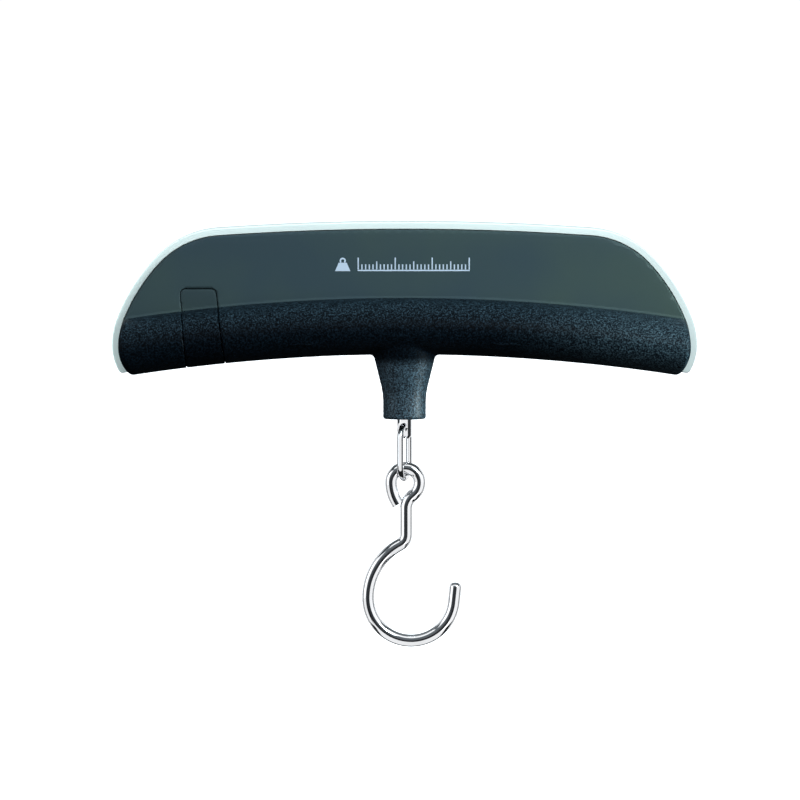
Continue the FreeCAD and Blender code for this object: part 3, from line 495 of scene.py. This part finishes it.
def power_symbol(x, z):
    """Open ring with a stroke through its gap."""
    return [arc_band(x, z, 1.15 * MM, 1.5 * MM, 125, 415),
            bar(x - 0.18 * MM, z + 0.3 * MM, x + 0.18 * MM, z + 1.8 * MM)]


def arrow(x, z, way):
    """Shaft and head; way is +1 or -1 along X."""
    return [bar(x - 1.5 * MM, z - 0.15 * MM, x + 1.5 * MM, z + 0.15 * MM),
            [(x + way * 1.55 * MM, z - 0.62 * MM), (x + way * 2.4 * MM, z),
             (x + way * 1.55 * MM, z + 0.62 * MM)]]


def swap_symbol(x, z):
    """Two opposite arrows, for changing the unit."""
    return arrow(x, z + 0.75 * MM, 1) + arrow(x, z - 0.75 * MM, -1)


for name, symbol, node, body in (("power_symbol", power_symbol, "power_button", "power_key"),
                                 ("unit_symbol", swap_symbol, "unit_button", "unit_key")):
    key_x, key_face, key_z = button_face(node)
    printed(name, [(shape, key_face) for shape in symbol(key_x, key_z)], 1, WHITE_INK, body)

# ------------------------------------------------------------------- camera

SPAN = 0.17744  # width of the picture at the target
DISTANCE = 2.2
ELEVATION = math.radians(2.6)
TARGET = Vector((-0.0010, 0.0, -0.0164))

camera = bpy.data.cameras.new("camera")
camera.sensor_width = 36.0
camera.lens = 36.0 * DISTANCE / SPAN
camera.clip_end = 50
eye = bpy.data.objects.new("camera", camera)
eye.location = TARGET + Vector((0, -math.cos(ELEVATION), math.sin(ELEVATION))) * DISTANCE
eye.rotation_euler = (math.pi / 2 - ELEVATION, 0, 0)
bpy.context.scene.collection.objects.link(eye)
bpy.context.scene.camera = eye

# -------------------------------------------------------------------- stage

def stage_sheet(name, corners, look):
    """Flat backdrop that is seen by the lens but sends no light back to the object."""
    mesh = bpy.data.meshes.new(name)
    mesh.from_pydata(corners, [], [tuple(range(len(corners)))])
    obj = bpy.data.objects.new(name, mesh)
    obj.data.materials.append(look)
    bpy.context.scene.collection.objects.link(obj)
    obj.visible_diffuse = False
    obj.visible_glossy = False


pale = Mat("floor_pale", (0.93, 0.93, 0.93), 0.9, Emission_Strength=0.9)
pale.vary_colour(pale.noise(3, 2), (0.92, 0.92, 0.92), (0.94, 0.94, 0.94))
pale.set("Emission Color", (1, 1, 1, 1))
FLOOR_Z = -0.13
stage_sheet("floor", [(-6, -6, FLOOR_Z), (6, -6, FLOOR_Z), (6, 6, FLOOR_Z), (-6, 6, FLOOR_Z)],
            pale.mat)

AMBIENT = 1.65
REFLECTED = 0.25


def studio_world():
    """White backdrop for the lens; softly lit ceiling over a dark floor for everything else."""
    world = bpy.data.worlds.new("studio")
    bpy.context.scene.world = world
    world.use_nodes = True
    nodes, links = world.node_tree.nodes, world.node_tree.links
    lit = nodes["Background"]
    height = nodes.new("ShaderNodeSeparateXYZ")
    links.new(nodes.new("ShaderNodeTexCoord").outputs["Generated"], height.inputs["Vector"])
    span = nodes.new("ShaderNodeMapRange")
    span.inputs["From Min"].default_value = -1.0
    links.new(height.outputs["Z"], span.inputs["Value"])
    sky = nodes.new("ShaderNodeValToRGB")
    ramp = sky.color_ramp
    ramp.elements[0].color = (0.06, 0.065, 0.07, 1)
    ramp.elements[1].color = (0.66, 0.77, 0.83, 1)
    for place, shade in ((0.40, (0.06, 0.065, 0.07)), (0.50, (0.17, 0.19, 0.21)),
                         (0.62, (0.5, 0.55, 0.6))):
        ramp.elements.new(place).color = (*shade, 1)
    links.new(span.outputs["Result"], sky.inputs["Fac"])
    links.new(sky.outputs["Color"], lit.inputs["Color"])
    rays = nodes.new("ShaderNodeLightPath").outputs
    dimmed = nodes.new("ShaderNodeMapRange")
    dimmed.inputs["To Min"].default_value = AMBIENT
    dimmed.inputs["To Max"].default_value = REFLECTED
    links.new(rays["Is Glossy Ray"], dimmed.inputs["Value"])
    links.new(dimmed.outputs["Result"], lit.inputs["Strength"])
    white = nodes.new("ShaderNodeBackground")
    white.inputs["Color"].default_value = (1, 1, 1, 1)
    white.inputs["Strength"].default_value = 1.05
    either = nodes.new("ShaderNodeMixShader")
    links.new(rays["Is Camera Ray"], either.inputs["Fac"])
    links.new(lit.outputs["Background"], either.inputs[1])
    links.new(white.outputs["Background"], either.inputs[2])
    links.new(either.outputs["Shader"], nodes["World Output"].inputs["Surface"])


studio_world()


def lamp(name, azimuth, elevation, distance, size, radiance, colour=(1, 1, 1), aim=(0, 0, 0),
         only=None):
    """Soft rectangle aimed at the object; azimuth is from the lens towards +X, in degrees."""
    turn, rise = math.radians(azimuth), math.radians(elevation)
    away = Vector((math.sin(turn) * math.cos(rise), -math.cos(turn) * math.cos(rise),
                   math.sin(rise)))
    light = bpy.data.lights.new(name, "AREA")
    light.shape = "RECTANGLE"
    light.size, light.size_y = size
    light.energy = math.pi * size[0] * size[1] * radiance
    light.color = colour
    obj = bpy.data.objects.new(name, light)
    obj.location = Vector(aim) + away * distance
    obj.rotation_euler = (-away).to_track_quat("-Z", "Y").to_euler()
    obj.visible_camera = False
    bpy.context.scene.collection.objects.link(obj)
    if only:
        obj.light_linking.receiver_collection = only


def lit_alone(name, *objects):
    """Collection of the only objects that a lamp lights."""
    group = bpy.data.collections.new(name)
    for obj in objects:
        group.objects.link(obj)
    return group


lamp("overhead", 150, 76, 0.9, (0.9, 0.5), 0.15, (0.84, 0.95, 1.0))
lamp("right_near", 26, 28, 0.28, (0.12, 0.12), 10.0, (0.82, 0.95, 1.0), (0.055, 0, 0))
stem_only = lit_alone("stem_only", bpy.data.objects["rear_skin"])
lamp("right_side", 76, 0, 0.8, (0.16, 0.7), 26.0, (0.78, 0.96, 1.0), only=stem_only)
lamp("left_side", -70, 10, 0.9, (0.3, 0.6), 1.4, (0.85, 0.95, 1.0))
cover_only = lit_alone("cover_only", NODES["front_cover"])
lamp("left_rim", -70, -2, 0.8, (0.3, 0.6), 6.5, (0.76, 0.98, 1.0), only=cover_only)

# white cards that only the chromed wire reflects, with dark gaps between them
thick_wire = lit_alone("thick_wire", NODES["hook"])
thin_wire = lit_alone("thin_wire", NODES["link"], NODES["pull_rod"])
HOOK_CENTRE = (0, 0, -0.05)
CARD_DISTANCE = 0.6
for name, azimuth, elevation, size, radiance in (
        ("card_right", 60, 0, (0.80, 0.9), 1.05), ("card_left", -69, 0, (0.62, 0.9), 1.0),
        ("card_below", 0, -70, (1.0, 1.2), 1.0), ("card_above", 0, 75, (0.9, 0.6), 1.0),
        ("card_back_right", 130, 0, (0.32, 0.9), 1.0),
        ("card_back_left", -130, 0, (0.32, 0.9), 1.0)):
    lamp(name, azimuth, elevation, CARD_DISTANCE, size, radiance, aim=HOOK_CENTRE, only=thick_wire)
for name, azimuth in (("card_front", -8), ("card_behind", 172)):
    lamp(name, azimuth, 0, CARD_DISTANCE, (2.0, 0.9), 1.0, aim=HOOK_CENTRE, only=thin_wire)

bpy.context.scene.view_settings.view_transform = "Standard"
